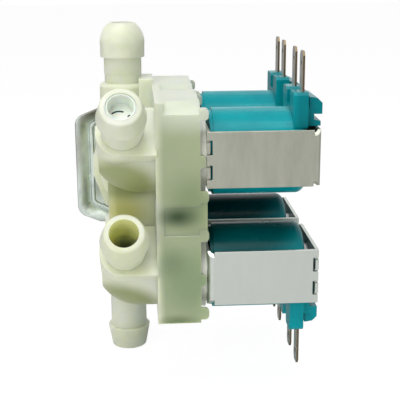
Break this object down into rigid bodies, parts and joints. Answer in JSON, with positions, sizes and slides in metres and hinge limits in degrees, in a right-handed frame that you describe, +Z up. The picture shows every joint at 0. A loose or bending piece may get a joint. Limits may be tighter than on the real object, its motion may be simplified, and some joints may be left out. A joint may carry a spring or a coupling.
{
  "type": "washing machine inlet valve",
  "caption": "Four-way water inlet valve with a moulded manifold, barbed outlets, solenoid coils in steel yokes and a pressed mounting bracket.",
  "frame": {"origin": "centre of the inlet on the back face of the mounting bracket", "axes": "+X along the solenoids away from the outlets, +Y out of the inlet towards the fill hose, +Z up"},
  "size_m": [0.0926, 0.1265, 0.135],
  "materials": {
    "translucent_plastic": "satin, slightly translucent",
    "white_plastic": "satin",
    "strainer_plastic": "satin",
    "coil_plastic": "semi-gloss",
    "galvanised_steel": "bright zinc plating",
    "yoke_steel": "dull zinc plating",
    "plunger_steel": "turned",
    "screw_steel": "zinc plated",
    "spring_steel": "drawn wire",
    "tinned_brass": "tin plated",
    "copper": "enamelled wire",
    "rubber": "matt"
  },
  "bodies": {
    "valve": {"valve_body": "translucent_plastic", "mounting_bracket": "galvanised_steel", "bracket_screws": "screw_steel", "inlet_strainer": "strainer_plastic", "flow_washer_cage": "white_plastic", "flow_washer": "rubber", "outlet_restrictor": "white_plastic", "upper_front_diaphragm": "rubber", "upper_front_bonnet": "white_plastic", "upper_front_spring": "spring_steel", "upper_front_yoke": "yoke_steel", "upper_front_yoke_plate": "yoke_steel", "upper_front_flux_bushings": "plunger_steel", "upper_front_coil": "coil_plastic", "upper_front_winding": "copper", "upper_front_terminals": "tinned_brass", "upper_back_diaphragm": "rubber", "upper_back_bonnet": "white_plastic", "upper_back_spring": "spring_steel", "upper_back_yoke": "yoke_steel", "upper_back_yoke_plate": "yoke_steel", "upper_back_flux_bushings": "plunger_steel", "upper_back_coil": "coil_plastic", "upper_back_winding": "copper", "upper_back_terminals": "tinned_brass", "lower_front_diaphragm": "rubber", "lower_front_bonnet": "white_plastic", "lower_front_spring": "spring_steel", "lower_front_yoke": "yoke_steel", "lower_front_yoke_plate": "yoke_steel", "lower_front_flux_bushings": "plunger_steel", "lower_front_coil": "coil_plastic", "lower_front_winding": "copper", "lower_front_terminals": "tinned_brass", "lower_back_diaphragm": "rubber", "lower_back_bonnet": "white_plastic", "lower_back_spring": "spring_steel", "lower_back_yoke": "yoke_steel", "lower_back_yoke_plate": "yoke_steel", "lower_back_flux_bushings": "plunger_steel", "lower_back_coil": "coil_plastic", "lower_back_winding": "copper", "lower_back_terminals": "tinned_brass"},
    "upper_front_armature": {"upper_front_plunger": "plunger_steel", "upper_front_plunger_tip": "rubber"},
    "upper_front_lift_disc": {"upper_front_diaphragm_insert": "white_plastic"},
    "upper_back_armature": {"upper_back_plunger": "plunger_steel", "upper_back_plunger_tip": "rubber"},
    "upper_back_lift_disc": {"upper_back_diaphragm_insert": "white_plastic"},
    "lower_front_armature": {"lower_front_plunger": "plunger_steel", "lower_front_plunger_tip": "rubber"},
    "lower_front_lift_disc": {"lower_front_diaphragm_insert": "white_plastic"},
    "lower_back_armature": {"lower_back_plunger": "plunger_steel", "lower_back_plunger_tip": "rubber"},
    "lower_back_lift_disc": {"lower_back_diaphragm_insert": "white_plastic"}
  },
  "joints": [
    {"name": "upper_front_plunger_slide", "type": "slide", "parent": "valve", "child": "upper_front_armature", "axis": [1, 0, 0], "range_m": [0, 0.003], "stiffness_N_per_m": 80, "springref_m": -0.005, "deforming": ["upper_front_spring"]},
    {"name": "upper_front_diaphragm_lift", "type": "slide", "parent": "valve", "child": "upper_front_lift_disc", "axis": [1, 0, 0], "range_m": [0, 0.0021], "deforming": ["upper_front_diaphragm"]},
    {"name": "upper_back_plunger_slide", "type": "slide", "parent": "valve", "child": "upper_back_armature", "axis": [1, 0, 0], "range_m": [0, 0.003], "stiffness_N_per_m": 80, "springref_m": -0.005, "deforming": ["upper_back_spring"]},
    {"name": "upper_back_diaphragm_lift", "type": "slide", "parent": "valve", "child": "upper_back_lift_disc", "axis": [1, 0, 0], "range_m": [0, 0.0021], "deforming": ["upper_back_diaphragm"]},
    {"name": "lower_front_plunger_slide", "type": "slide", "parent": "valve", "child": "lower_front_armature", "axis": [1, 0, 0], "range_m": [0, 0.003], "stiffness_N_per_m": 80, "springref_m": -0.005, "deforming": ["lower_front_spring"]},
    {"name": "lower_front_diaphragm_lift", "type": "slide", "parent": "valve", "child": "lower_front_lift_disc", "axis": [1, 0, 0], "range_m": [0, 0.0021], "deforming": ["lower_front_diaphragm"]},
    {"name": "lower_back_plunger_slide", "type": "slide", "parent": "valve", "child": "lower_back_armature", "axis": [1, 0, 0], "range_m": [0, 0.003], "stiffness_N_per_m": 80, "springref_m": -0.005, "deforming": ["lower_back_spring"]},
    {"name": "lower_back_diaphragm_lift", "type": "slide", "parent": "valve", "child": "lower_back_lift_disc", "axis": [1, 0, 0], "range_m": [0, 0.0021], "deforming": ["lower_back_diaphragm"]}
  ],
  "couplings": [
    {"joint": "upper_front_diaphragm_lift", "follows": "upper_front_plunger_slide", "ratio": 0.7},
    {"joint": "upper_back_diaphragm_lift", "follows": "upper_back_plunger_slide", "ratio": 0.7},
    {"joint": "lower_front_diaphragm_lift", "follows": "lower_front_plunger_slide", "ratio": 0.7},
    {"joint": "lower_back_diaphragm_lift", "follows": "lower_back_plunger_slide", "ratio": 0.7}
  ]
}
